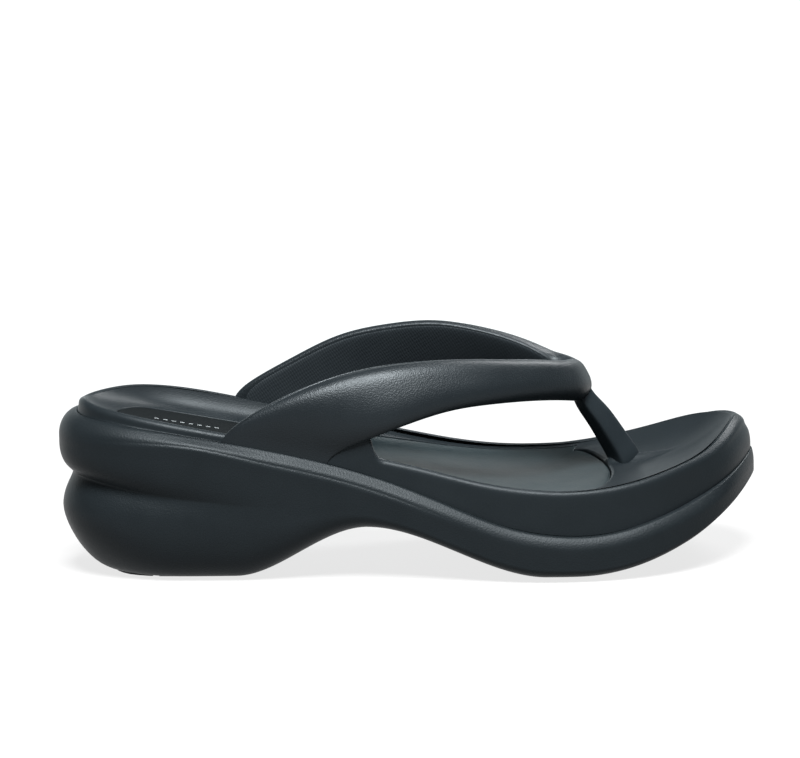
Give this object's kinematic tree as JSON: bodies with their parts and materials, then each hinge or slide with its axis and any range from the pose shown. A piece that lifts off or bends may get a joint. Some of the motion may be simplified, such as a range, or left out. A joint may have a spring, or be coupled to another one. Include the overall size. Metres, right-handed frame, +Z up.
{
  "type": "flip flop",
  "caption": "Foam wedge thong sandal for the right foot: rolled heel, arched waist, dished footbed, two padded bands meeting over a toe post.",
  "frame": {"origin": "on the ground under the middle of the bounding box", "axes": "+X towards the toe, +Y towards the big toe side, +Z up"},
  "size_m": [0.262, 0.094, 0.087],
  "materials": {
    "foam": "satin moulded foam with a faint pebble, blue-black",
    "band_foam": "satin moulded foam with a fine leather grain, blue-black",
    "insole_foam": "matt foam with a soft sheen at low angles",
    "lining": "matt, finely hatched",
    "tread": "matt rubber",
    "washer": "plain moulded plastic"
  },
  "bodies": {
    "root": {"wedge_sole": "foam", "footbed_tray": "foam", "insole": "insole_foam", "heel_tread": "tread", "ball_tread": "tread", "little_toe_side_band": "band_foam", "big_toe_side_band": "band_foam", "little_toe_side_lining": "lining", "big_toe_side_lining": "lining", "toe_post": "band_foam", "toe_post_washer": "washer"}
  },
  "joints": []
}
